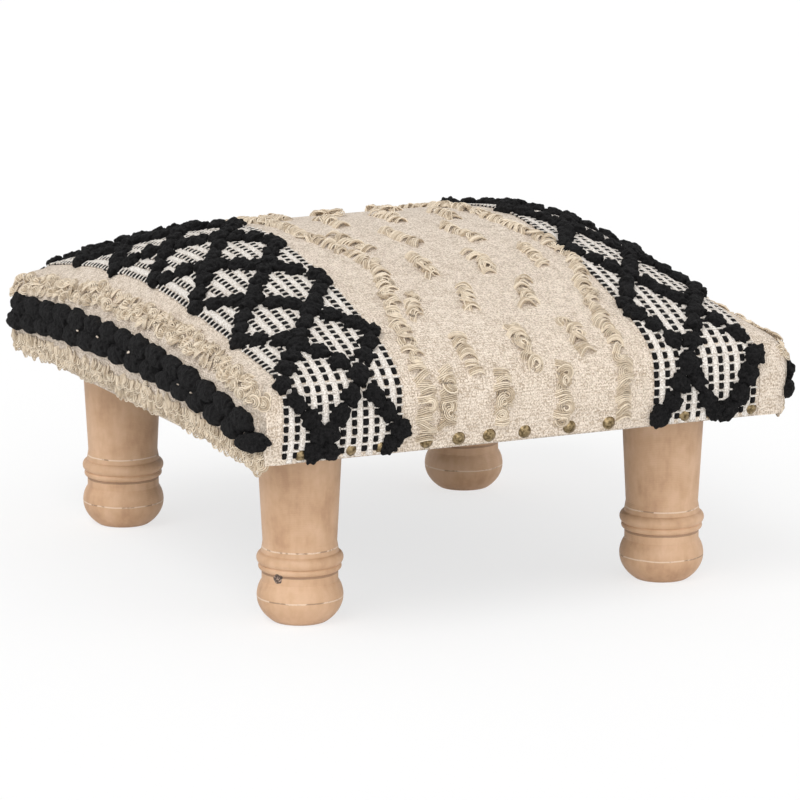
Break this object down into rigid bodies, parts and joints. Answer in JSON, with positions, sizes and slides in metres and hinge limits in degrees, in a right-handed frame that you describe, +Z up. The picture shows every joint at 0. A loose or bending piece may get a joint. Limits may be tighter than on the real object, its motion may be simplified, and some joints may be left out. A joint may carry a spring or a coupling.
{
  "type": "footstool",
  "caption": "Low padded footstool: a domed cushion in a striped handwoven cover with raised loops, nailed along its edge, on turned wooden legs with ball feet.",
  "frame": {"origin": "on the floor, under the middle of the stool", "axes": "+Z up, +Y from the nailed front side to the back, along the longest side, +X to the right seen from the front"},
  "size_m": [0.3966, 0.4524, 0.236],
  "materials": {
    "leg_wood": "pale turned hardwood, waxed",
    "frame_wood": "sawn softwood",
    "board_wood": "plain plywood",
    "steel": "zinc plated",
    "brass": "antique brass",
    "foam": "upholstery foam",
    "wadding": "polyester wadding",
    "cover_cloth": "handwoven cotton, cream with black",
    "lining_cloth": "black non-woven lining"
  },
  "bodies": {
    "root": {"leg_front_left": "leg_wood", "leg_front_right": "leg_wood", "leg_back_left": "leg_wood", "leg_back_right": "leg_wood", "hanger_bolts": "steel", "tee_nuts": "steel", "rail_front": "frame_wood", "rail_back": "frame_wood", "rail_left": "frame_wood", "rail_right": "frame_wood", "corner_block_front_left": "frame_wood", "corner_block_front_right": "frame_wood", "corner_block_back_left": "frame_wood", "corner_block_back_right": "frame_wood", "frame_screws": "steel", "block_screws": "steel", "board_screws": "steel", "seat_board": "board_wood", "foam_pad": "foam", "wadding": "wadding", "woven_cover": "cover_cloth", "front_nails": "brass", "back_nails": "brass", "hem_staples": "steel", "underside_lining": "lining_cloth"}
  },
  "joints": []
}
